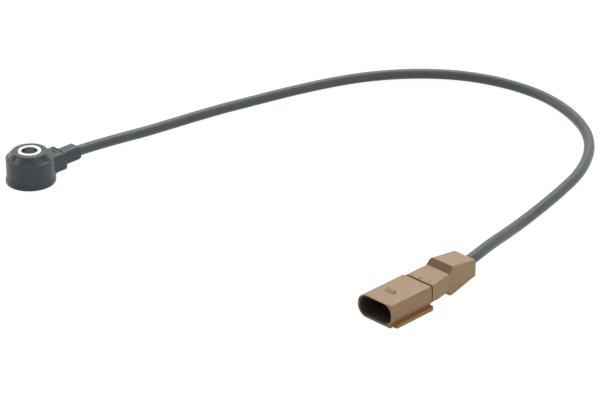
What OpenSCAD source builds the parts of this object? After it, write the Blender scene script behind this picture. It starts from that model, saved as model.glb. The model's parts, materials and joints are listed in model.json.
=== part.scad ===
// Engine knock sensor with a moulded head, a free lead and a three-pin plug.
// Origin at the centre of the bolt bore on the seat. +Z runs up the bore, +X out along the neck.

/* [Bolt sleeve] */
// Bore for the mounting bolt
bore_d = 8.4; // [6.4:0.1:10.4]
// Radial wall of the steel sleeve
sleeve_wall = 1.9; // [1.5:0.1:2.6]
// Thickness of the seat flange
flange_t = 2.2; // [1.6:0.1:2.8]
// How far the flange reaches out past the sensing stack
flange_lip = 0.9; // [0.5:0.1:1.2]
// How far the sleeve stands above the moulded top
sleeve_proud = 0.4; // [0.2:0.1:1]
// Bevel on the sleeve's edges
sleeve_bevel = 0.3; // [0.1:0.1:0.5]

/* [Sensing stack] */
// Radial width of the seismic mass, which sets the width of the stack
ring_w = 3.35; // [2.6:0.05:4.2]
// Wall of the insulating tube between sleeve and stack
tube_wall = 0.45; // [0.3:0.05:0.7]
// Thickness of each insulating washer
washer_t = 0.4; // [0.3:0.05:0.8]
// Thickness of each contact disc
contact_t = 0.4; // [0.3:0.05:0.6]
// Thickness of the piezo ring
piezo_t = 3; // [2:0.1:4]
// Height of the seismic mass
mass_h = 5.4; // [4:0.1:7]
// Sheet thickness of the disc spring
spring_t = 0.6; // [0.4:0.05:0.9]
// Free rise of the disc spring's cone
spring_rise = 0.4; // [0.2:0.05:0.8]
// Height of the lock ring
nut_h = 2.2; // [1.6:0.1:3]
// Radial width of the lock ring
nut_w = 2.3; // [1.8:0.1:3]

/* [Moulded head] */
// Plastic around the stack
side_wall = 2.6; // [2:0.1:3.4]
// Plastic over the lock ring
roof_t = 2.1; // [1.4:0.1:3]
// How far the base ring flares out past the head
base_flare = 0.55; // [0.2:0.05:1]
// Height of the base ring
base_h = 2.1; // [1.4:0.1:3]
// Rounding of the base ring's lower edge
base_round = 0.8; // [0.4:0.1:1.2]
// Height of the eight-sided crown
crown_h = 3.5; // [2.8:0.1:4]
// How far the crown's rim lies inside the head's side
crown_inset = 3.3; // [2.6:0.1:3.8]
// Height of the round rim on top of the crown
rim_h = 0.4; // [0.2:0.1:0.8]
// Diameter of the ejector marks on the crown
mark_d = 2.5; // [1.6:0.1:3]

/* [Neck] */
// Length of the neck's block from the head's side
block_l = 7.3; // [6.5:0.1:9]
// Width of the neck's block
block_w = 11.6; // [9.6:0.1:13]
// Top of the neck's block above the seat
block_top = 12; // [11:0.1:13.5]
// Underside of the neck's block above the seat
block_bottom = 2.2; // [2:0.1:3.2]
// Length of the cable collar past the block
collar_l = 11.4; // [9:0.1:14]
// Width of the cable collar
collar_w = 8; // [7.4:0.1:9.4]
// Height of the cable collar
collar_h = 8; // [7.4:0.1:8.4]
// Rounding along the collar's edges
collar_round = 2.2; // [1:0.1:3]
// Depth of the cross grooves on the neck's top
groove_depth = 0.45; // [0.2:0.05:0.8]

/* [Lead] */
// Outer diameter of the cable jacket
cable_d = 5.7; // [4.8:0.1:6.2]
// Diameter over a core's insulation
core_d = 1.7; // [1.3:0.1:1.9]
// Diameter of a core's copper
copper_d = 0.9; // [0.6:0.1:1]
// Length of jacket inside the rear cap
cable_insert = 8; // [7:0.1:9]

/* [Plug shell] */
// Length of the shell from mouth to seam
shell_l = 27.5; // [25:0.5:32]
// Width of the shell
shell_w = 21.5; // [21.2:0.1:24]
// Height of the shell
shell_h = 11.7; // [11.3:0.1:12.6]
// Wall of the shell
shell_wall = 0.95; // [0.8:0.05:1.2]
// Outer corner radius on the rounded side
round_side = 5.4; // [4:0.1:5.5]
// Outer corner radius on the rail side
rail_side = 1.3; // [0.8:0.1:2]
// Corner radius of the mouth on the rail side
mouth_round = 4.2; // [3:0.1:4.3]
// How far the mouth's rim is widened all round
rim_step = 0.45; // [0.2:0.05:0.5]
// Depth from the mouth to the face of the terminal carrier
socket_depth = 15; // [13:0.1:17]
// Height of the guide rail
rail_h = 1.9; // [1.4:0.1:2.4]
// How far the guide rail stands out of the side
rail_out = 1.6; // [1:0.1:2.2]
// Height of the groove above the rail
rail_gap = 1.3; // [0.8:0.1:2]
// Depth of the groove above the rail
rail_groove = 0.6; // [0.3:0.1:0.8]
// Height of the latch catch
latch_h = 1.1; // [0.5:0.1:1.4]
// Width of the latch catch
latch_w = 5; // [3:0.1:7]

/* [Terminals] */
// Distance between terminals
pitch = 5.25; // [4.8:0.05:5.5]
// Width of a blade
blade_w = 2.8; // [2.2:0.1:3]
// Thickness of a blade
blade_t = 0.8; // [0.6:0.1:1]
// How far the blade tips lie behind the mouth
tip_inset = 4.6; // [4.3:0.1:6]
// Length of a wire seal
seal_l = 6; // [5:0.1:6.4]
// Outer diameter of a wire seal
seal_d = 4.1; // [3.6:0.1:4.4]
// Thickness of the terminal lock
lock_t = 0.9; // [0.6:0.1:1]

/* [Rear end] */
// Visible gap between shell and terminal carrier
seam = 0.5; // [0.3:0.1:1]
// Length of the carrier's visible stretch
mid_l = 13.9; // [12.6:0.1:16]
// How far the carrier's top stands above the shell
mid_proud = 0.5; // [0.2:0.1:1]
// Underside of the carrier's visible stretch above the ground
mid_bottom = 3; // [2.4:0.1:3.2]
// Width of the carrier where the rear cap starts
mid_end_w = 14.3; // [13.8:0.1:14.6]
// Length of the rear cap
cap_l = 19.1; // [17.5:0.1:22]
// Width of the rear cap
cap_w = 14.3; // [14.1:0.1:15]
// Height of the rear cap's ridge above the ground
cap_top = 15; // [14:0.1:17]
// Height of the rear cap's top at its back
cap_back_top = 12.7; // [12.4:0.1:13.6]
// Length of the cap's front ramp
ramp_l = 3; // [2:0.1:5]
// Lower edge of the cap's back above the ground
cap_back_bottom = 4.2; // [3.8:0.1:4.4]
// Clearance of the cap's front corner from the ground
cap_foot = 0.3; // [0.1:0.1:1]
// Rounding along the cap's top edges
cap_round = 1.2; // [0.6:0.1:2]

/* [Fits] */
// Running gap between plastic and what it encloses
mould_gap = 0.1; // [0.05:0.05:0.2]
// Clearance between pieces that slide together
slip = 0.1; // [0.05:0.05:0.15]
// Clearance around copper, cable and seals
snug = 0.05; // [0.02:0.01:0.08]

/* [Hidden] */
$fn = 64;
eps = 0.01;
deep = 40;

// The lead's centre line, laid by hand: out of the neck, down to the ground, round and back to the plug
route = [
    [23, 0, 7], [31, 0, 7], [37, 0, 6.7], [44, 0, 6.2], [52, -0.1, 5.55], [60, -0.2, 4.85], [68, -0.5, 4.2],
    [79, -1.2, 3.4], [94, -2.5, 2.9], [112, -5, 2.9], [130, -8, 2.9], [148, -12, 2.9], [166, -16, 2.9],
    [183, -20.5, 2.9], [200, -26, 2.9], [216, -33, 2.9], [231, -42.5, 2.9], [244, -54, 2.9],
    [255, -68, 2.9], [262.5, -84, 2.9], [266.5, -101, 2.9], [267, -119, 2.9], [263.5, -136, 2.9],
    [256.5, -153, 2.9], [246, -169, 2.9], [232.5, -182, 2.9], [217, -192, 2.9], [200, -199.5, 2.9],
    [182, -204.7, 2.9], [164, -209, 2.9], [147, -212.6, 2.9], [134, -215.4, 3.3], [122, -218.6, 4.6],
    [110, -222, 6.2], [99, -225, 7.4], [88, -227.8, 8], [78, -229.4, 8], [70, -229.4, 8]];
route_sides = 10;
route_in = route[0];
route_out = route[len(route) - 1];

// Radii of the sleeve and the stack around it
bore_r = bore_d / 2;
sleeve_r = bore_r + sleeve_wall;
tube_r = sleeve_r + snug + tube_wall;
ring_in_r = tube_r + slip;
mass_in_r = sleeve_r + slip;
stack_r = mass_in_r + ring_w + snug;
nut_r = sleeve_r + snug + nut_w;
flange_r = stack_r + flange_lip;

// Heights of the stack, from the flange up
z_lower_washer = flange_t;
z_lower_contact = z_lower_washer + washer_t;
z_piezo = z_lower_contact + contact_t;
z_upper_contact = z_piezo + piezo_t;
z_upper_washer = z_upper_contact + contact_t;
z_mass = z_upper_washer + washer_t;
z_spring = z_mass + mass_h;
z_nut = z_spring + spring_t + spring_rise;
z_stack = z_nut + nut_h;
nut_slot_w = 2;
nut_slot_h = 1;
spring_r = stack_r - 0.6;
clip_groove_z = [z_stack + 0.5, z_stack + 1.2];
clip_groove_h = 0.4;
clip_groove_depth = 0.2;

// The moulded head around the stack
cavity_r = stack_r + 3 * mould_gap;
body_h = z_stack + mould_gap + roof_t;
sleeve_h = body_h + sleeve_proud;
head_r = cavity_r + side_wall;
base_r = head_r + base_flare;
base_z = 0.3;
ledge_z = body_h - crown_h;
rim_r = head_r - crown_inset;
flat = cos(22.5);
crown_slope = atan2((head_r - rim_r) * flat, crown_h);
mark_depth = 0.35;

// The neck, its collar and the wire room inside
neck_z = route_in[2];
block_end = head_r + block_l;
neck_end = block_end + collar_l;
block_round = 1.2;
block_heel = 1.8;
flare_l = 3;
collar_z = neck_z + 0.2 - collar_h / 2;
collar_heel = 3;
collar_nose = 1.8;
long_groove_x = head_r + 5.8;
long_groove_y = block_w / 2 - 1;
short_groove_x = head_r + 3.2;
short_groove_y = [-2.4, 1.9];
groove_r = 0.6;
tab_w = 2.2;
tab_x = head_r - 0.6;
tab_root = stack_r - 1.2;
room_x = stack_r - 2;
bare_core = 1.5;
core_y = 1.6;
strip_z = neck_z - 1.2;
barrel_t = 0.4;
barrel_in = head_r + 1.5;
barrel_out = barrel_in + 3.5;
barrel_r = copper_d / 2 + snug + barrel_t;
room_w = 2 * core_y + tab_w + 0.6;
room_top = max(z_upper_contact + contact_t, neck_z + barrel_r) + 0.5;
room_bottom = strip_z - 0.5;
cable_r = cable_d / 2;
cable_bore_r = cable_r + snug;

// The plug, measured from its mouth, with its place set by the end of the lead. The shell's middle lies
// beside the lead's axis by shell_shift.
mid_x = shell_l + seam;
cap_x = mid_x + mid_l;
plug_end = cap_x + cap_l;
plug_x = route_out[0] - (plug_end - cable_insert);
plug_y = route_out[1];
lead_z = route_out[2];
lead_x = plug_end - cable_insert;
in_w = shell_w - 2 * shell_wall;
in_h = shell_h - 2 * shell_wall;
in_round = round_side - shell_wall;
shell_shift = 1.4;
back_w = in_w - 2 * shell_shift;
side_y = shell_shift + shell_w / 2;
heel_l = 3;
heel_w = 2.2;
rim_depth = 0.6;
term_z = shell_h / 2;
mid_top = shell_h + mid_proud;
mid_w = shell_w - 2.4;
mid_round = 4.2;
rail_x = 2;
rail_round = 0.9;
latch_x = 9.1;
latch_l = 2.6;

// Stations of a terminal along the plug
body_x = socket_depth + 3;
body_l = 5.9;
body_w = blade_w + 0.2;
blade_tip = 1.2;
blade_root = body_x + 1;
box_h = 2.1;
sheet = 0.35;
lock_x = body_x + body_l + snug;
crimp_x = lock_x + lock_t + 0.15;
crimp_l = 2.3;
grip_x = crimp_x + crimp_l + 0.2;
grip_l = 1.6;
grip_r = core_d / 2 + snug + sheet;
term_end = grip_x + grip_l;
seal_x = term_end + 0.2;
seal_end = seal_x + seal_l;
seal_r = seal_d / 2;
cavity_w = body_w + 2 * slip;
cavity_h = max(box_h, 2 * grip_r) + 2 * slip;
strip_w = 1.6;
lock_w = 2 * pitch + 1.9;
lock_depth = 0.6;
lock_top = in_h / 2 - 8 * slip;
comb_w = 1;
comb_h = 1.4;

// The tongue at the carrier's back, the wire room behind it and the seal round the lead
tongue_l = 4.2;
tongue_w = 12.2;
tongue_z = 3.4;
tongue_h = 7;
pocket_w = 2 * pitch + core_d + 1;
pocket_end_w = tongue_w - 3.2;
pocket_z = term_z - 1.5;
pocket_h = lead_z + 1.9 - pocket_z;
room2_w = 8.4;
room2_h = 6.8;
gland_l = 3.5;
gland_r = 3.8;
gland_back = 3.4;
gland_x = plug_end - gland_back - gland_l;
fan_x = seal_end + 1.8;
fan_end = lead_x - 3.6;
core_seat = [[1.3, 0.7], [-1.3, 0.7], [0, -1]];

// A flat shape drawn in Y and Z, run along X from a to b
module along_x(a, b) translate([a, 0, 0]) rotate([90, 0, 90]) linear_extrude(b - a) children();

// A flat shape drawn in X and Z, centred on Y with the given width
module across_y(w) rotate([90, 0, 0]) linear_extrude(w, center = true) children();

// A round bar along X
module bar_x(a, b, r) translate([a, 0, 0]) rotate([0, 90, 0]) cylinder(r = r, h = b - a);

// A washer or tube standing on z
module ring(r_in, r_out, z, h) translate([0, 0, z]) difference() {
    cylinder(r = r_out, h = h);
    translate([0, 0, -1]) cylinder(r = r_in, h = h + 2);
}

// A rectangle centred on x and standing on y = 0, with one radius left and another right
module soft_rect(w, h, left, right) {
    translate([right - w / 2, 0]) square([w - left - right, h]);
    translate([-w / 2, right]) square([w - left, h - 2 * right]);
    translate([right - w / 2, left]) square([w - right, h - 2 * left]);
    for (y = [right, h - right]) translate([right - w / 2, y]) circle(right);
    for (y = [left, h - left]) translate([w / 2 - left, y]) circle(left);
}

// Points of a rounded corner about [x, y]
function arc(x, y, r, from, to) = [for (i = [0:4]) let (a = from + (to - from) * i / 4)
    [x + r * cos(a), y + r * sin(a)]];

// Unit vectors that set the rings of a swept tube
function unit(v) = v / norm(v);
function heading(path, i) = unit(path[min(i + 1, len(path) - 1)] - path[max(i - 1, 0)]);
function sideways(path, i) = unit(cross([0, 0, 1], heading(path, i)));
function upward(path, i) = cross(heading(path, i), sideways(path, i));

// A round tube swept along a path, with a ring of points at each station
module sweep(path, r, sides) {
    rings = len(path);
    points = [for (i = [0:rings - 1]) for (k = [0:sides - 1])
        let (a = 360 * (k + 0.5) / sides)
        path[i] + r * (cos(a) * sideways(path, i) + sin(a) * upward(path, i))];
    walls = [for (i = [0:rings - 2]) for (k = [0:sides - 1])
        let (a = i * sides + k, b = i * sides + (k + 1) % sides)
        [a, a + sides, b + sides, b]];
    start = [for (k = [0:sides - 1]) k];
    finish = [for (k = [sides - 1:-1:0]) (rings - 1) * sides + k];
    polyhedron(points, concat([start], walls, [finish]));
}

// An easy S from a to b along X
function ease(a, b) = [for (i = [0:6]) let (t = i / 6, s = t * t * (3 - 2 * t))
    [a[0] + (b[0] - a[0]) * t, a[1] + (b[1] - a[1]) * s, a[2] + (b[2] - a[2]) * s]];

module at_plug() translate([plug_x, plug_y, 0]) children();

// Head

module crown() intersection_for (i = [0:3]) rotate([0, 0, 45 * i]) across_y(4 * head_r)
    polygon([[-head_r * flat, ledge_z - 1], [head_r * flat, ledge_z - 1], [head_r * flat, ledge_z],
        [rim_r * flat, body_h], [-rim_r * flat, body_h], [-head_r * flat, ledge_z]]);

module ejector_mark(angle) rotate([0, 0, angle])
    translate([(head_r + rim_r) / 2 * flat, 0, ledge_z + crown_h / 2]) rotate([0, 90 - crown_slope, 0])
        translate([0, 0, -mark_depth]) cylinder(d = mark_d, h = 2);

module neck_solid() {
    intersection() {
        along_x(0, block_end) translate([0, block_bottom])
            soft_rect(block_w, block_top - block_bottom, block_round, block_round);
        across_y(block_w + 2) polygon(concat([[-1, block_top + 1], [-1, 0], [block_end - block_heel, 0]],
            arc(block_end - block_heel, block_bottom + block_heel, block_heel, -90, 0),
            [[block_end, block_top + 1]]));
    }
    across_y(block_w - 2 * block_round) polygon([[0, base_z + base_round], [head_r + 0.2, base_z + base_round],
        [head_r + flare_l, block_bottom + 0.6], [0, block_bottom + 0.6]]);
    intersection() {
        along_x(head_r, neck_end) translate([0, collar_z])
            soft_rect(collar_w, collar_h, collar_round, collar_round);
        across_y(collar_w + 2) polygon(concat([[0, -1], [neck_end - collar_heel, -1]],
            arc(neck_end - collar_heel, collar_z + collar_heel, collar_heel, -90, 0),
            arc(neck_end - collar_nose, collar_z + collar_h - collar_nose, collar_nose, 0, 90),
            [[neck_end - collar_nose, body_h], [0, body_h]]));
    }
}

module cross_groove(x, y_low, y_high) translate([x, y_low, block_top + groove_r - groove_depth])
    rotate([-90, 0, 0]) cylinder(r = groove_r, h = y_high - y_low);

module stack_room() rotate_extrude() polygon([[0, -1], [flange_r + mould_gap, -1],
    [flange_r + mould_gap, flange_t + mould_gap], [cavity_r, flange_t + mould_gap],
    [cavity_r, z_nut + mould_gap], [nut_r + mould_gap, z_nut + mould_gap],
    [nut_r + mould_gap, z_stack + mould_gap], [sleeve_r + mould_gap, z_stack + mould_gap],
    [sleeve_r + mould_gap, body_h + 1], [0, body_h + 1]]);

module wire_room() {
    translate([room_x, -room_w / 2, flange_t + mould_gap])
        cube([tab_x + 0.3 - room_x, room_w, room_top - flange_t - mould_gap]);
    translate([room_x, -room_w / 2, room_bottom])
        cube([route_in[0] - room_x, room_w, room_top - room_bottom]);
    translate([0, 0, neck_z]) bar_x(route_in[0], neck_end + 1, cable_bore_r);
}

module sensor_housing() color([0.3, 0.33, 0.34]) difference() {
    union() {
        rotate_extrude() polygon(concat([[0, base_z]],
            arc(base_r - base_round, base_z + base_round, base_round, -90, 0),
            [[base_r, base_z + base_h], [head_r, base_z + 2 * base_h], [head_r, ledge_z], [0, ledge_z]]));
        crown();
        translate([0, 0, body_h - rim_h]) cylinder(r = rim_r, h = rim_h);
        neck_solid();
    }
    stack_room();
    wire_room();
    ejector_mark(180);
    ejector_mark(-90);
    cross_groove(long_groove_x, -long_groove_y, long_groove_y);
    cross_groove(short_groove_x, short_groove_y[0], short_groove_y[1]);
}

module pressure_sleeve() color([0.8, 0.81, 0.83]) difference() {
    rotate_extrude() polygon([[bore_r, 0], [flange_r, 0],
        [flange_r, flange_t], [sleeve_r, flange_t], [sleeve_r, sleeve_h - sleeve_bevel],
        [sleeve_r - sleeve_bevel, sleeve_h], [bore_r + sleeve_bevel, sleeve_h],
        [bore_r, sleeve_h - sleeve_bevel]]);
    for (z = clip_groove_z) ring(sleeve_r - clip_groove_depth, sleeve_r + 1, z, clip_groove_h);
}

module insulating_tube() color([0.85, 0.8, 0.6])
    ring(sleeve_r + snug, tube_r, z_lower_washer, z_mass - z_lower_washer);

module insulator(z) color([0.75, 0.62, 0.35]) ring(ring_in_r - snug, stack_r + slip, z, washer_t);

module lower_insulator() insulator(z_lower_washer);

module upper_insulator() insulator(z_upper_washer);

// A contact disc with a tab that steps to the crimp barrel at the wire's height
module contact(z, side) color([0.8, 0.66, 0.35]) {
    ring(ring_in_r, stack_r - slip, z, contact_t);
    translate([0, side * core_y, 0]) {
        translate([tab_root, -tab_w / 2, z]) cube([tab_x - tab_root, tab_w, contact_t]);
        translate([tab_x - contact_t, -tab_w / 2, min(z, strip_z)])
            cube([contact_t, tab_w, abs(z - strip_z) + contact_t]);
        translate([tab_x - contact_t, -tab_w / 2, strip_z])
            cube([barrel_out - tab_x + contact_t, tab_w, contact_t]);
        translate([0, 0, neck_z]) difference() {
            bar_x(barrel_in, barrel_out, barrel_r);
            bar_x(barrel_in - 1, barrel_out + 1, barrel_r - barrel_t);
        }
    }
}

module lower_contact() contact(z_lower_contact, -1);

module upper_contact() contact(z_upper_contact, 1);

module piezo_ring() color([0.9, 0.88, 0.8]) ring(ring_in_r, stack_r - slip, z_piezo, piezo_t);

module seismic_mass() color([0.55, 0.55, 0.57]) ring(mass_in_r, stack_r, z_mass, mass_h);

module disc_spring() color([0.4, 0.42, 0.45]) rotate_extrude() polygon([
    [mass_in_r, z_spring + spring_rise], [spring_r, z_spring], [spring_r, z_spring + spring_t],
    [mass_in_r, z_spring + spring_rise + spring_t]]);

module lock_ring() color([0.6, 0.6, 0.62]) difference() {
    ring(sleeve_r + snug, nut_r, z_nut, nut_h);
    for (i = [0:3]) rotate([0, 0, 90 * i]) translate([sleeve_r - 1, -nut_slot_w / 2, z_stack - nut_slot_h])
        cube([nut_w + 2, nut_slot_w, nut_slot_h + 1]);
}

module head_wire(side) translate([0, side * core_y, neck_z]) {
    bar_x(barrel_in, barrel_out + bare_core, copper_d / 2);
    bar_x(barrel_out + bare_core - 0.5, route_in[0], core_d / 2);
}

module signal_wire() color([0.75, 0.2, 0.15]) head_wire(1);

module return_wire() color([0.2, 0.2, 0.2]) head_wire(-1);

// Lead

module cable() color([0.36, 0.39, 0.42]) sweep(route, cable_r, route_sides);

// Plug

module guide_rail() linear_extrude(rail_h) translate([rail_x, -shell_w / 2 - rail_out]) {
    translate([rail_round, 0]) square([shell_l - rail_x - 2 * rail_round, rail_out + rail_side]);
    translate([0, rail_round]) square([shell_l - rail_x, rail_out + rail_side - rail_round]);
    for (x = [rail_round, shell_l - rail_x - rail_round]) translate([x, rail_round]) circle(rail_round);
}

module plug_shell() color([0.72, 0.6, 0.47]) at_plug() difference() {
    translate([0, shell_shift, 0]) {
        along_x(0, shell_l) soft_rect(shell_w, shell_h, round_side, rail_side);
        guide_rail();
        across_y(latch_w) polygon([[latch_x, shell_h - 0.3], [latch_x, shell_h + 0.1],
            [latch_x + latch_l, shell_h + latch_h], [latch_x + latch_l, shell_h - 0.3]]);
    }
    along_x(-1, rim_depth) translate([shell_shift, shell_wall - rim_step])
        soft_rect(in_w + 2 * rim_step, in_h + 2 * rim_step, in_round + rim_step, mouth_round + rim_step);
    along_x(rim_depth - eps, socket_depth) translate([shell_shift, shell_wall])
        soft_rect(in_w, in_h, in_round, mouth_round);
    along_x(socket_depth - eps, shell_l + 1) translate([0, shell_wall])
        soft_rect(back_w, in_h, in_round, mouth_round);
    translate([-1, shell_shift - shell_w / 2 - deep, rail_h]) cube([shell_l + 2, deep + rail_groove, rail_gap]);
    linear_extrude(deep) polygon([[shell_l - 2 * heel_l, side_y + heel_w],
        [shell_l + heel_l, side_y - 2 * heel_w], [shell_l + heel_l, side_y + heel_w]]);
}

module carrier_solid() {
    along_x(socket_depth, mid_x + 1) translate([0, shell_wall + slip])
        soft_rect(back_w - 2 * slip, in_h - 2 * slip, in_round - slip, mouth_round - slip);
    intersection() {
        along_x(mid_x, cap_x) translate([0, mid_bottom])
            soft_rect(mid_w, mid_top - mid_bottom, mid_round, rail_side);
        linear_extrude(deep) polygon([[mid_x, -mid_w / 2], [cap_x, -mid_end_w / 2], [cap_x, mid_end_w / 2],
            [mid_x, mid_w / 2]]);
    }
    along_x(cap_x - 1, cap_x + tongue_l) translate([0, tongue_z]) soft_rect(tongue_w, tongue_h, 1, 1);
}

module terminal_room(y) translate([0, y, term_z]) {
    translate([socket_depth - 1, -blade_w / 2 - slip, -blade_t / 2 - slip])
        cube([body_x - socket_depth + 2, blade_w + 2 * slip, blade_t + 2 * slip]);
    translate([body_x - slip, -cavity_w / 2, -cavity_h / 2]) cube([seal_x - body_x + slip, cavity_w, cavity_h]);
    bar_x(seal_x - eps, fan_x, seal_r + snug);
}

module terminal_carrier() color([0.74, 0.61, 0.47]) at_plug() difference() {
    carrier_solid();
    for (i = [-1:1]) terminal_room(i * pitch);
    translate([lock_x - slip, -lock_w / 2 - slip, term_z - lock_depth - slip])
        cube([lock_t + 2 * slip, lock_w + 2 * slip, deep]);
    translate([0, 0, pocket_z]) linear_extrude(pocket_h) polygon([[fan_x - 1, -pocket_w / 2],
        [cap_x + tongue_l + 1, -pocket_end_w / 2], [cap_x + tongue_l + 1, pocket_end_w / 2],
        [fan_x - 1, pocket_w / 2]]);
}

module terminal_lock() color([0.55, 0.3, 0.45]) at_plug() difference() {
    translate([lock_x, -lock_w / 2, term_z - lock_depth]) cube([lock_t, lock_w, lock_top + lock_depth]);
    for (y = [-pitch / 2, pitch / 2]) translate([lock_x - 1, y - comb_w / 2, term_z - 1])
        cube([lock_t + 2, comb_w, comb_h + 1]);
}

module blade_terminal(y) color([0.82, 0.8, 0.72]) at_plug() translate([0, y, term_z]) {
    intersection() {
        translate([0, 0, -blade_t / 2]) linear_extrude(blade_t) polygon([
            [tip_inset, -blade_w / 4], [tip_inset + blade_tip, -blade_w / 2], [blade_root, -blade_w / 2],
            [blade_root, blade_w / 2], [tip_inset + blade_tip, blade_w / 2], [tip_inset, blade_w / 4]]);
        across_y(blade_w) polygon([[tip_inset, -blade_t / 4], [tip_inset + blade_tip, -blade_t / 2],
            [blade_root, -blade_t / 2], [blade_root, blade_t / 2], [tip_inset + blade_tip, blade_t / 2],
            [tip_inset, blade_t / 4]]);
    }
    difference() {
        translate([body_x, -body_w / 2, -box_h / 2]) cube([body_l, body_w, box_h]);
        translate([body_x + 1, sheet - body_w / 2, sheet - box_h / 2])
            cube([body_l, body_w - 2 * sheet, box_h - 2 * sheet]);
    }
    difference() {
        union() {
            translate([body_x + body_l - 1, -strip_w / 2, -box_h / 2])
                cube([term_end - body_x - body_l + 1, strip_w, sheet]);
            bar_x(crimp_x, crimp_x + crimp_l, copper_d / 2 + snug + sheet);
            bar_x(grip_x, term_end, grip_r);
            translate([crimp_x, -strip_w / 4, -box_h / 2]) cube([crimp_l, strip_w / 2, box_h / 2]);
        }
        bar_x(crimp_x - 1, term_end + 1, copper_d / 2 + snug);
        bar_x(grip_x - 0.1, term_end + 1, core_d / 2 + snug);
    }
}

module blade_terminal_1() blade_terminal(pitch);

module blade_terminal_2() blade_terminal(0);

module blade_terminal_3() blade_terminal(-pitch);

// A wire seal with three sealing ribs
module wire_seal(y) color([0.35, 0.5, 0.6]) at_plug() translate([seal_x, y, term_z]) rotate([0, 90, 0])
    rotate_extrude() polygon(concat([[core_d / 2 + snug, 0]],
        [for (i = [0:12]) [seal_r - (i % 4 == 2 ? 0 : i % 2 == 1 ? 0.1 : 0.3), seal_l * i / 12]],
        [[core_d / 2 + snug, seal_l]]));

module wire_seal_1() wire_seal(pitch);

module wire_seal_2() wire_seal(0);

module wire_seal_3() wire_seal(-pitch);

module plug_wire(y, seat) at_plug() {
    translate([0, y, term_z]) bar_x(crimp_x, grip_x + 0.2, copper_d / 2);
    sweep(concat([[grip_x, y, term_z]], ease([fan_x, y, term_z], [fan_end, seat[0], lead_z + seat[1]]),
        [[lead_x, seat[0], lead_z + seat[1]]]), core_d / 2, route_sides);
}

module plug_wire_1() color([0.75, 0.2, 0.15]) plug_wire(pitch, core_seat[0]);

module plug_wire_2() color([0.6, 0.6, 0.6]) plug_wire(0, core_seat[2]);

module plug_wire_3() color([0.2, 0.2, 0.2]) plug_wire(-pitch, core_seat[1]);

module cable_seal() color([0.2, 0.2, 0.2]) at_plug() translate([0, 0, lead_z]) difference() {
    bar_x(gland_x, gland_x + gland_l, gland_r - snug);
    bar_x(gland_x - 1, gland_x + gland_l + 1, cable_bore_r);
}

module cap_side() polygon([[cap_x, mid_top], [cap_x + ramp_l, cap_top], [plug_end, cap_back_top],
    [plug_end, cap_back_bottom], [cap_x + ramp_l, cap_foot], [cap_x + 1, cap_foot], [cap_x, mid_bottom]]);

module cap_solid() intersection() {
    across_y(cap_w) cap_side();
    translate([cap_x + ramp_l, 0, cap_top])
        rotate([0, atan2(cap_top - cap_back_top, cap_l - ramp_l), 0])
        translate([0, 0, -deep]) along_x(-deep, deep) soft_rect(cap_w, deep, cap_round, cap_round);
}

module rear_cap() color([0.7, 0.57, 0.43]) at_plug() difference() {
    cap_solid();
    along_x(cap_x - 1, cap_x + tongue_l + slip) translate([0, tongue_z - slip])
        soft_rect(tongue_w + 2 * slip, tongue_h + 2 * slip, 1, 1);
    along_x(cap_x, gland_x + eps) translate([0, lead_z - room2_h / 2]) soft_rect(room2_w, room2_h, 1, 1);
    translate([0, 0, lead_z]) bar_x(gland_x, gland_x + gland_l, gland_r);
    translate([0, 0, lead_z]) bar_x(gland_x, plug_end + 1, cable_bore_r);
}

sensor_housing();
pressure_sleeve();
insulating_tube();
lower_insulator();
lower_contact();
piezo_ring();
upper_contact();
upper_insulator();
seismic_mass();
disc_spring();
lock_ring();
signal_wire();
return_wire();
cable();
plug_shell();
terminal_carrier();
terminal_lock();
blade_terminal_1();
blade_terminal_2();
blade_terminal_3();
wire_seal_1();
wire_seal_2();
wire_seal_3();
plug_wire_1();
plug_wire_2();
plug_wire_3();
cable_seal();
rear_cap();
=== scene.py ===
# Engine knock sensor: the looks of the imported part, its free lead, the floor, the light and the camera.
import json
from math import radians, tau

import bpy
import numpy as np
from mathutils import Euler, Matrix, Vector

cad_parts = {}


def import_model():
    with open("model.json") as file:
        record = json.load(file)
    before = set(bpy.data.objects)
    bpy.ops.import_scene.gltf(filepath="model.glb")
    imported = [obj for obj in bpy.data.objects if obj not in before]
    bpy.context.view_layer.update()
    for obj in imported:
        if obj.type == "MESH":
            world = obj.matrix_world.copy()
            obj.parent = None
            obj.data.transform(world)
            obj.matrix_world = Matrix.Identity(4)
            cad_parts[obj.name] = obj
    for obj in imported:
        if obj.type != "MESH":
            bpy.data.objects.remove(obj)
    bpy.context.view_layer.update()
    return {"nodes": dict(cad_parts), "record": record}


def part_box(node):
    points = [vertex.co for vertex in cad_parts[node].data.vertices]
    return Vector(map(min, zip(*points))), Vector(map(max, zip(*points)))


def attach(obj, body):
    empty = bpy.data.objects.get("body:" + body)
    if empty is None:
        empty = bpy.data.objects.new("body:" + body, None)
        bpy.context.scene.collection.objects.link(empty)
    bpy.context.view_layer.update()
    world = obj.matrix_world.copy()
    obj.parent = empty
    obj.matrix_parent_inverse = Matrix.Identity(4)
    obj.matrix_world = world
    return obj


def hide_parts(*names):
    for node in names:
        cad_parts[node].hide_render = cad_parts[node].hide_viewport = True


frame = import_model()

NODES = frame["nodes"]
RECORD = frame["record"]
MOUNTS = {mount["name"]: mount for mount in RECORD["mounts"]}
MM = 0.001

# The camera: its place in millimetres, its lens and sensor, its angles in degrees, its range in metres
CAMERA_PLACE = (-713.9, -903.3, 552.2)
LENS = 146.99
SENSOR = 36
LOOK_DOWN = 26.21
HEADING = -45.27
ROLL = 0.09
NEAR, FAR = 0.05, 20

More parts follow.
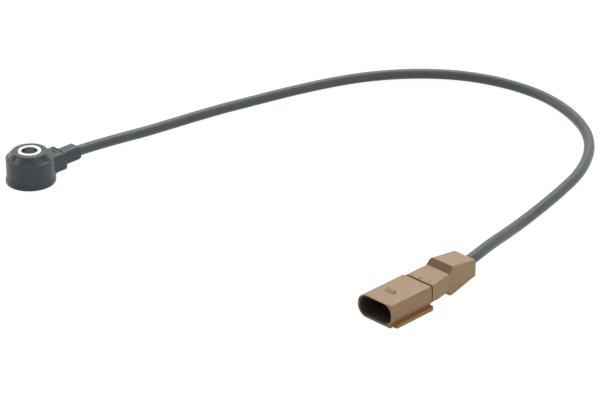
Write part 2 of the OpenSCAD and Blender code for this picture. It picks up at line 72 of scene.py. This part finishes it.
# The lead's centre line in millimetres, as in the part's source
ROUTE = [
    (23, 0, 7), (31, 0, 7), (37, 0, 6.7), (44, 0, 6.2), (52, -0.1, 5.55), (60, -0.2, 4.85),
    (68, -0.5, 4.2), (79, -1.2, 3.4), (94, -2.5, 2.9), (112, -5, 2.9), (130, -8, 2.9), (148, -12, 2.9),
    (166, -16, 2.9), (183, -20.5, 2.9), (200, -26, 2.9), (216, -33, 2.9), (231, -42.5, 2.9),
    (244, -54, 2.9), (255, -68, 2.9), (262.5, -84, 2.9), (266.5, -101, 2.9), (267, -119, 2.9),
    (263.5, -136, 2.9), (256.5, -153, 2.9), (246, -169, 2.9), (232.5, -182, 2.9), (217, -192, 2.9),
    (200, -199.5, 2.9), (182, -204.7, 2.9), (164, -209, 2.9), (147, -212.6, 2.9), (134, -215.4, 3.3),
    (122, -218.6, 4.6), (110, -222, 6.2), (99, -225, 7.4), (88, -227.8, 8), (78, -229.4, 8),
    (70, -229.4, 8),
]
CABLE_D = 5.7
STEPS = 6             # short stretches between two points of the route
ROUND_STEPS = 6       # how finely each quarter of the lead's circle is cut

# The raised digits beside the plug's three cavities, in millimetres; the middle one gives the place
DIGIT_SIZE = 2.1
DIGIT_RISE = 0.12
DIGIT_EDGE = 0.03
DIGIT_PLACE = (46.8, -229.6, 12.21)
DIGIT_PITCH = 5.3

# The bolt's bore and the plug's mouth and rail, in metres as the frame gives them
BORE_R = MOUNTS["bolt_bore"]["dims"]["r_mm"] * MM
MOUTH = Vector(MOUNTS["plug_socket"]["pos_m"])
SHELL_LOW, SHELL_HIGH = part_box("plug_shell")

# How far outside the bore the painted shade on its wall begins and is full, in millimetres
BORE_SHADE_FROM, BORE_SHADE_FULL = 0.25, 0.05

# The mouth's outline in millimetres: the straight stretches between its round corners, and their radius
MOUTH_FLAT_W = 11.2
MOUTH_FLAT_H = 1.4
MOUTH_ROUND = 4.2

# The socket's painted shade: how far outside the outline it begins and is full, its share at the lip and
# deep down, those two depths, and how much of the shell's back it leaves plain; lengths in millimetres
SOCKET_SHADE_FROM, SOCKET_SHADE_FULL = 0.5, 0.35
LIP_SHARE, DEEP_SHARE = 0.80, 1.0
LIP_DEPTH, DEEP_DEPTH = 0.02, 4
PLAIN_BACK = 0.5

# Painted bounce light along the rail, a warmer tan, in millimetres: its height, its reach in from the edge,
# its soft border
RAIL_BOUNCE_H = 3.4
RAIL_BOUNCE_IN = 2.75
RAIL_BOUNCE_SOFT = 1

# The ramp's painted shade begins and is full at these parts of the face's direction along X and Z
RAMP_X_FROM, RAMP_X_FULL = -0.30, -0.50
RAMP_Z_FROM, RAMP_Z_FULL = 0.20, 0.40

# Colours as linear red, green and blue
TAN = (0.335, 0.205, 0.090)
CAP_TAN = (0.350, 0.228, 0.110)
TAN_FLECK = (0.42, 0.29, 0.17)
# Painted highlight along the plug's edges
RIM_GLINT_TAN = (0.60, 0.31, 0.09)
# Painted bounce light along the rail
RAIL_BOUNCE_TAN = (0.36, 0.185, 0.055)
# Painted shade on the cap's ramp
RAMP_SHADE_TAN = (0.200, 0.108, 0.034)
# Painted shade deep in the socket, on its walls and on its blades
DEEP_SOCKET_SHADE = (0.095, 0.080, 0.068)
DEEP_BLADE_SHADE = (0.020, 0.018, 0.016)
# Painted shade on the bolt bore's wall
BORE_SHADE_STEEL = (0.62, 0.61, 0.56)

# The material of each slot, which surface() fills in
MATS = {}

# What all surfaces share
PATCH_RANGE = (0.35, 0.65)          # the part of the broad noise that the colour follows
ROUGH_RANGE = (0.3, 0.7)            # the part of it that the roughness follows
ROUGH_SPREAD = 0.08
GRAIN_RANGE = (0.4, 0.6)            # the part of the fine noise that the colour follows
GRAIN_LIFT = 1.7                    # how much lighter the grain's high spots are
FLECK_WIDTH = 1.6                   # a fleck's width in grains
FLECK_SHARE = 0.06                  # the share of the spots that show
FLECK_STRENGTH = 0.5
GLINT_FROM, GLINT_FULL = 0.99, 0.88   # cosine of the turn of an edge, where the painted edge highlight begins and where it is full
GLINT_LEAST = 0.6                    # what is left of the painted edge highlight in the grain's low spots
EDGE_SAMPLES = 6

# The rings that a lathe leaves: their pitch in millimetres, their depth beside the grain's, and how much of
# the height counts as radius, so that the rings also run down the bore
LATHE_PITCH = 0.16
LATHE_DEPTH = 0.25
LATHE_HEIGHT = 0.35

# The floor: half its side in metres, its colour for light on the object, and what the camera sees of it
FLOOR_HALF = 4
FLOOR_GREY = 0.8
SHADOW_GREY = 0.14
FLOOR_GLOW = 0.94

# The surroundings' light, from the side that faces away from SKY_SIDE to the side that faces it
SKY_SIDE = (0.8, 0.1, 0.6)
SKY_DIM, SKY_BRIGHT = 0.06, 0.60

# Each soft lamp: its name, place and target in metres, its width and height in metres, and its watts
LAMPS = [
    ("top_lamp", (0.8, 0.35, 1.2), (0.12, -0.1, 0), (1.1, 1.1), 14),
    ("left_lamp", (-0.35, 0.95, 0.35), (0.0, 0.0, 0), (0.35, 0.8), 3.0),
    ("right_lamp", (0.3, -1.2, 0.4), (0.05, -0.1, 0), (0.5, 0.8), 1.2),
]


def add(name, data):
    """A new object in the scene."""
    obj = bpy.data.objects.new(name, data)
    bpy.context.scene.collection.objects.link(obj)
    return obj


def to_mesh(obj):
    """The finished mesh of a text or curve object."""
    bpy.context.view_layer.update()
    return bpy.data.meshes.new_from_object(obj.evaluated_get(bpy.context.evaluated_depsgraph_get()))


def camera():
    """The photograph's view: a long lens that looks along the diagonal between the neck and the plug."""
    data = bpy.data.cameras.new("camera")
    data.sensor_width = SENSOR
    data.lens = LENS
    data.clip_start, data.clip_end = NEAR, FAR
    obj = add("camera", data)
    obj.location = Vector(CAMERA_PLACE) * MM
    aim = Euler((radians(90 - LOOK_DOWN), 0, radians(HEADING))).to_matrix()
    obj.rotation_euler = (aim @ Matrix.Rotation(radians(ROLL), 3, "Z")).to_euler()
    bpy.context.scene.camera = obj


def cavity_number(number):
    """A small raised digit on the plug's top, beside its cavity."""
    data = bpy.data.curves.new("digit", "FONT")
    data.body = str(number)
    data.size = DIGIT_SIZE * MM
    data.extrude = DIGIT_RISE * MM
    data.bevel_depth = DIGIT_EDGE * MM
    data.align_x = "CENTER"
    data.align_y = "CENTER"
    shape = add("digit", data)
    x, y, z = DIGIT_PLACE
    shape.location = Vector((x, y + (2 - number) * DIGIT_PITCH, z)) * MM
    shape.rotation_euler = (0, 0, radians(-90))
    mesh = to_mesh(shape)
    mesh.transform(shape.matrix_world)
    bpy.data.objects.remove(shape)
    obj = add(f"cavity_number_{number}", mesh)
    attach(obj, "root")
    return obj


def smooth_path(points, steps):
    """Points on one smooth curve through the given ones."""
    p = [np.array(q, float) for q in points]
    p = [2 * p[0] - p[1]] + p + [2 * p[-1] - p[-2]]
    out = []
    for a, b, c, d in zip(p, p[1:], p[2:], p[3:]):
        slope = c - a
        bend = 2 * a - 5 * b + 4 * c - d
        twist = 3 * b - a - 3 * c + d
        for k in range(steps):
            t = k / steps
            out.append(0.5 * (2 * b + slope * t + bend * t**2 + twist * t**3))
    return out + [p[-2]]


def cable():
    """The free lead, one round tube along the route, which takes the place of the CAD cable."""
    path = smooth_path(ROUTE, STEPS)
    data = bpy.data.curves.new("lead_line", "CURVE")
    data.dimensions = "3D"
    data.bevel_depth = CABLE_D / 2 * MM
    data.bevel_resolution = ROUND_STEPS
    data.use_fill_caps = True
    spline = data.splines.new("POLY")
    spline.points.add(len(path) - 1)
    for point, co in zip(spline.points, path):
        point.co = (*(co * MM), 1)
    spline.use_smooth = True
    line = add("lead_line", data)
    mesh = to_mesh(line)
    bpy.data.objects.remove(line)
    mesh.shade_smooth()
    obj = add("lead_jacket", mesh)
    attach(obj, "root")
    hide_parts("cable")
    return obj


def chain(owner):
    """A node maker for one material or world: make(type, inputs, settings) adds a node and joins it up."""
    tree = owner.node_tree

    def make(kind, inputs=None, **settings):
        node = tree.nodes.new("ShaderNode" + kind)
        for key, value in settings.items():
            setattr(node, key, value)
        for key, value in (inputs or {}).items():
            feed(tree, node.inputs[key], value)
        return node
    return make


def feed(tree, socket, value):
    """Links a socket to another, or sets it to a plain value."""
    if isinstance(value, bpy.types.NodeSocket):
        tree.links.new(value, socket)
    else:
        socket.default_value = value


def rgba(color, times=1.0):
    """A colour as a socket takes it, made lighter or darker by a factor."""
    return (*(min(1.0, c * times) for c in color), 1)


def mix(make, share, a, b):
    """A colour between a and b; each is a colour or a socket."""
    node = make("Mix", data_type="RGBA")
    for index, value in ((0, share), (6, a), (7, b)):
        feed(node.id_data, node.inputs[index], value)
    return node.outputs[2]


def spread(make, value, low, high, to_low=0.0, to_high=1.0):
    """A value taken from one range to another."""
    return make("MapRange", {"Value": value, "From Min": low, "From Max": high,
                             "To Min": to_low, "To Max": to_high}).outputs[0]


def calc(make, operation, *values):
    """One Math node on sockets or numbers."""
    return make("Math", dict(enumerate(values)), operation=operation).outputs[0]


def noise(make, laid, spot_mm, detail, rough):
    """Noise whose spots have the given width."""
    return make("TexNoise", {"Vector": laid, "Scale": 1 / (spot_mm * MM),
                             "Detail": detail, "Roughness": rough}).outputs[0]


def bore_distance(make, place, height=0.0):
    """The distance from the bore's axis, with a share of the height counted in."""
    flat = make("VectorMath", {0: place, 1: (1, 1, height)}, operation="MULTIPLY").outputs[0]
    return make("VectorMath", {0: flat}, operation="LENGTH").outputs["Value"]


def flecks(make, laid, colour, fleck, grain_mm):
    """Sparse small spots of another colour."""
    cells = make("TexVoronoi", {"Vector": laid, "Scale": 1 / (FLECK_WIDTH * grain_mm * MM)})
    pick = make("SeparateColor", {0: cells.outputs["Color"]}).outputs[0]
    shown = spread(make, pick, 1 - FLECK_SHARE, 1 - FLECK_SHARE / 2, 0, FLECK_STRENGTH)
    return mix(make, shown, colour, rgba(fleck))


def worn_edges(make, soft, speck, colour, edge, share):
    """A painted highlight along the edges, in another colour, broken up by the grain."""
    flat = make("NewGeometry").outputs["Normal"]
    turn = make("VectorMath", {0: soft, 1: flat}, operation="DOT_PRODUCT").outputs["Value"]
    glint = spread(make, turn, GLINT_FROM, GLINT_FULL, 0, share)
    broken = calc(make, "MULTIPLY", glint, spread(make, speck, 0, 1, GLINT_LEAST, 1.0))
    return mix(make, broken, colour, rgba(edge))


def lathe_marks(make, place, height):
    """Fine rings round the bore's axis, over the grain."""
    turns = calc(make, "MULTIPLY", bore_distance(make, place, LATHE_HEIGHT), tau / (LATHE_PITCH * MM))
    ring = calc(make, "SINE", turns)
    return calc(make, "MULTIPLY_ADD", ring, LATHE_DEPTH, height)


def surface(name, color, rough, metal=0.0, patch=0.10, patch_mm=7.0, grain=0.10, grain_mm=0.5,
            relief_mm=0.012, stretch=(1, 1, 1), fleck=None, edge=None, edge_mm=0.25, edge_share=0.55,
            gloss=0.35, turned=False, tint=None):
    """A finished surface: broad patches, fine grain, flecks, a painted highlight along the edges, and
    roughness and relief that vary.

    patch and grain are how much the colour varies, and patch_mm and grain_mm how wide the spots are.
    tint(make, place, colour) may paint light or shade into the colour where the surface lies in a given
    place.
    """
    mat = bpy.data.materials.new(name)
    mat.use_nodes = True
    make = chain(mat)
    place = make("TexCoord").outputs["Object"]
    laid = make("Mapping", {"Vector": place, "Scale": stretch}).outputs[0]
    broad = noise(make, laid, patch_mm, detail=3.0, rough=0.55)
    fine = noise(make, laid, grain_mm, detail=4.0, rough=0.6)
    soft = make("Bevel", {"Radius": edge_mm * MM}, samples=EDGE_SAMPLES).outputs[0]

    tone = spread(make, broad, *PATCH_RANGE)
    colour = mix(make, tone, rgba(color, 1 - patch), rgba(color, 1 + patch))
    speck = spread(make, fine, *GRAIN_RANGE)
    colour = mix(make, spread(make, speck, 0, 1, 0.0, grain), colour, rgba(color, GRAIN_LIFT))
    if fleck:
        colour = flecks(make, laid, colour, fleck, grain_mm)
    if edge:
        colour = worn_edges(make, soft, speck, colour, edge, edge_share)
    if tint:
        colour = tint(make, place, colour)
    height = lathe_marks(make, place, fine) if turned else fine
    bump = make("Bump", {"Height": height, "Normal": soft, "Distance": relief_mm * MM, "Strength": 1.0})

    shader = mat.node_tree.nodes["Principled BSDF"].inputs
    feed(mat.node_tree, shader["Base Color"], colour)
    feed(mat.node_tree, shader["Roughness"],
         spread(make, broad, *ROUGH_RANGE, rough - ROUGH_SPREAD, rough + ROUGH_SPREAD))
    feed(mat.node_tree, shader["Normal"], bump.outputs[0])
    shader["Metallic"].default_value = metal
    shader["Specular IOR Level"].default_value = gloss
    MATS[name] = mat


def bore_wall(make, place, colour):
    """Painted shade on the bolt bore's wall: darker and a little browner than the turned ring on top."""
    wall = spread(make, bore_distance(make, place), BORE_R + BORE_SHADE_FROM * MM,
                  BORE_R + BORE_SHADE_FULL * MM)
    return mix(make, wall, colour, rgba(BORE_SHADE_STEEL))


def past_flat(make, value, middle, flat):
    """How far a coordinate lies beyond a flat stretch with the given middle."""
    away = calc(make, "ABSOLUTE", calc(make, "SUBTRACT", value, middle))
    return calc(make, "MAXIMUM", calc(make, "SUBTRACT", away, flat / 2), 0.0)


def in_socket(make, x, y, z):
    """1 inside the mouth's rounded outline and in front of the shell's back edge, otherwise 0."""
    side = past_flat(make, y, MOUTH.y, MOUTH_FLAT_W * MM)
    rise = past_flat(make, z, MOUTH.z, MOUTH_FLAT_H * MM)
    squares = calc(make, "ADD", calc(make, "POWER", side, 2.0), calc(make, "POWER", rise, 2.0))
    reach = calc(make, "SQRT", squares)
    within = spread(make, reach, (MOUTH_ROUND + SOCKET_SHADE_FROM) * MM,
                    (MOUTH_ROUND + SOCKET_SHADE_FULL) * MM)
    return calc(make, "MULTIPLY", within, calc(make, "LESS_THAN", x, SHELL_HIGH.x - PLAIN_BACK * MM))


def socket_shade(make, place, colour, deep):
    """Painted shade on what lies in the socket, which takes the deep colour with distance behind the mouth.
    """
    x, y, z = make("SeparateXYZ", {0: place}).outputs
    depth = spread(make, x, SHELL_LOW.x + LIP_DEPTH * MM, SHELL_LOW.x + DEEP_DEPTH * MM,
                   LIP_SHARE, DEEP_SHARE)
    return mix(make, calc(make, "MULTIPLY", in_socket(make, x, y, z), depth), colour, rgba(deep))


def plug_tint(make, place, colour):
    """The plug's plastic, with painted bounce light that makes it warmer along the rail and painted shade
    that makes it dark in the socket.
    """
    x, y, z = make("SeparateXYZ", {0: place}).outputs
    rail_y = SHELL_LOW.y + RAIL_BOUNCE_IN * MM
    rail = calc(make, "MULTIPLY", calc(make, "LESS_THAN", z, RAIL_BOUNCE_H * MM),
                spread(make, y, rail_y, rail_y - RAIL_BOUNCE_SOFT * MM))
    return socket_shade(make, place, mix(make, rail, colour, rgba(RAIL_BOUNCE_TAN)), DEEP_SOCKET_SHADE)


def blade_tint(make, place, colour):
    """Painted shade on the blades, darker than the socket's walls, since metal would catch more light there.
    """
    return socket_shade(make, place, colour, DEEP_BLADE_SHADE)


def ramp_tint(make, place, colour):
    """Painted shade on the rear cap's front ramp, which faces away from the light: a deeper and warmer tan
    than the faces beside it.
    """
    x, y, z = make("SeparateXYZ", {0: make("TexCoord").outputs["Normal"]}).outputs
    sloped = calc(make, "MULTIPLY", spread(make, x, RAMP_X_FROM, RAMP_X_FULL),
                  spread(make, z, RAMP_Z_FROM, RAMP_Z_FULL))
    return mix(make, sloped, colour, rgba(RAMP_SHADE_TAN))


def head_materials():
    """The head's outside, and the steel, discs and rings that it holds."""
    surface("head_plastic", (0.051, 0.067, 0.075), 0.36, patch=0.12, grain_mm=0.22, relief_mm=0.006,
            edge=(0.11, 0.125, 0.132), edge_mm=0.8, edge_share=0.35)
    surface("sleeve_steel", (0.80, 0.81, 0.81), 0.30, metal=1.0, patch=0.03, grain=0.03, grain_mm=0.25,
            relief_mm=0.0004, edge=(1, 1, 1), edge_mm=0.1, turned=True, tint=bore_wall)
    surface("insulation", (0.70, 0.58, 0.33), 0.45, patch=0.08, grain_mm=0.25, fleck=(0.8, 0.7, 0.5))
    surface("contact_brass", (0.78, 0.60, 0.30), 0.32, metal=1.0, patch=0.12, relief_mm=0.005,
            stretch=(0.3, 1, 1), edge=(0.9, 0.78, 0.5), edge_mm=0.1)
    surface("piezo_ceramic", (0.80, 0.78, 0.70), 0.50, patch=0.04, grain_mm=0.15, relief_mm=0.006,
            fleck=(0.5, 0.48, 0.42))
    surface("mass_steel", (0.50, 0.50, 0.52), 0.34, metal=1.0, patch=0.14, grain_mm=0.4, relief_mm=0.006,
            edge=(0.75, 0.75, 0.76), edge_mm=0.15, turned=True)


def lead_materials():
    """The lead's jacket and its three cores."""
    core = {"grain_mm": 0.3, "relief_mm": 0.006, "stretch": (0.25, 1, 1)}
    surface("cable_jacket", (0.078, 0.092, 0.100), 0.38, patch_mm=11, grain=0.06, grain_mm=0.4,
            relief_mm=0.006, edge_mm=0.2)
    surface("core_red", (0.55, 0.06, 0.05), 0.38, **core)
    surface("core_black", (0.03, 0.03, 0.03), 0.38, **core)
    surface("core_grey", (0.35, 0.35, 0.36), 0.38, **core)


def plug_materials():
    """The plug's tan mouldings, its lock, blades and seals."""
    moulded = {"grain": 0.06, "grain_mm": 0.3, "relief_mm": 0.006, "stretch": (0.45, 1, 1),
               "fleck": TAN_FLECK, "edge": RIM_GLINT_TAN, "edge_mm": 0.6, "edge_share": 0.9, "gloss": 0.5}
    surface("plug_plastic", TAN, 0.44, patch=0.06, patch_mm=9, tint=plug_tint, **moulded)
    surface("cap_plastic", CAP_TAN, 0.44, patch=0.07, patch_mm=8, tint=ramp_tint, **moulded)
    surface("lock_plastic", (0.30, 0.12, 0.20), 0.42, grain_mm=0.3, fleck=(0.4, 0.2, 0.3),
            edge=(0.45, 0.22, 0.33), edge_mm=0.1)
    surface("terminal_metal", (0.60, 0.57, 0.50), 0.50, metal=1.0, relief_mm=0.004, stretch=(0.3, 1, 1),
            edge=(0.7, 0.68, 0.6), edge_mm=0.08, tint=blade_tint)
    surface("seal_rubber", (0.12, 0.20, 0.27), 0.55, grain_mm=0.3, fleck=(0.25, 0.32, 0.38))


def dress(lead, numbers):
    """Gives every CAD node and every new piece the material of its slot."""
    slots = {part["node"]: part["material_slot"] for part in RECORD["subparts"]}
    for name, node in NODES.items():
        node.data.materials.clear()
        node.data.materials.append(MATS[slots[name]])
    lead.data.materials.append(MATS["cable_jacket"])
    for number in numbers:
        number.data.materials.append(MATS["plug_plastic"])


def seen_plainly(make):
    """1 for the rays that meet the white background: camera, glossy and transmission rays."""
    path = make("LightPath").outputs
    seen = calc(make, "MAXIMUM", path["Is Camera Ray"], path["Is Glossy Ray"])
    return calc(make, "MAXIMUM", seen, path["Is Transmission Ray"])


def floor():
    """A plain pale floor that shows as white and keeps a faint shadow."""
    mesh = bpy.data.meshes.new("floor")
    half = FLOOR_HALF
    corners = [(-half, -half, 0), (half, -half, 0), (half, half, 0), (-half, half, 0)]
    mesh.from_pydata(corners, [], [(0, 1, 2, 3)])
    obj = add("floor", mesh)
    mat = bpy.data.materials.new("floor")
    mat.use_nodes = True
    make = chain(mat)
    nodes = mat.node_tree.nodes
    nodes.remove(nodes["Principled BSDF"])
    plain = make("BsdfDiffuse", {"Color": rgba([FLOOR_GREY] * 3)}).outputs[0]
    shaded = make("BsdfDiffuse", {"Color": rgba([SHADOW_GREY] * 3)}).outputs[0]
    glow = make("Emission", {"Strength": FLOOR_GLOW}).outputs[0]
    shown = make("AddShader", {0: shaded, 1: glow}).outputs[0]
    both = make("MixShader", {0: seen_plainly(make), 1: plain, 2: shown}).outputs[0]
    feed(mat.node_tree, nodes["Material Output"].inputs[0], both)
    mesh.materials.append(mat)


def world():
    """Pale surroundings that light the part from behind and above, pure white where the camera sees them."""
    sky = bpy.data.worlds.new("world")
    bpy.context.scene.world = sky
    sky.use_nodes = True
    make = chain(sky)
    toward = make("VectorMath", {0: make("TexCoord").outputs["Generated"], 1: SKY_SIDE},
                  operation="DOT_PRODUCT").outputs["Value"]
    light = spread(make, toward, -1, 1, SKY_DIM, SKY_BRIGHT)
    shown = make("Mix", {0: seen_plainly(make), 2: light, 3: 1.0}, data_type="FLOAT").outputs[0]
    back = sky.node_tree.nodes["Background"].inputs
    back["Color"].default_value = (1, 1, 1, 1)
    feed(sky.node_tree, back["Strength"], shown)


def lamp(name, place, target, size, watts):
    """A soft rectangular lamp that looks at the target."""
    data = bpy.data.lights.new(name, "AREA")
    data.shape = "RECTANGLE"
    data.size, data.size_y = size
    data.energy = watts
    obj = add(name, data)
    obj.location = place
    obj.rotation_euler = (Vector(target) - Vector(place)).to_track_quat("-Z", "Y").to_euler()


camera()
NUMBERS = [cavity_number(number) for number in (1, 2, 3)]
LEAD = cable()
head_materials()
lead_materials()
plug_materials()
dress(LEAD, NUMBERS)
floor()
world()
for values in LAMPS:
    lamp(*values)

bpy.context.scene.view_settings.view_transform = "Standard"
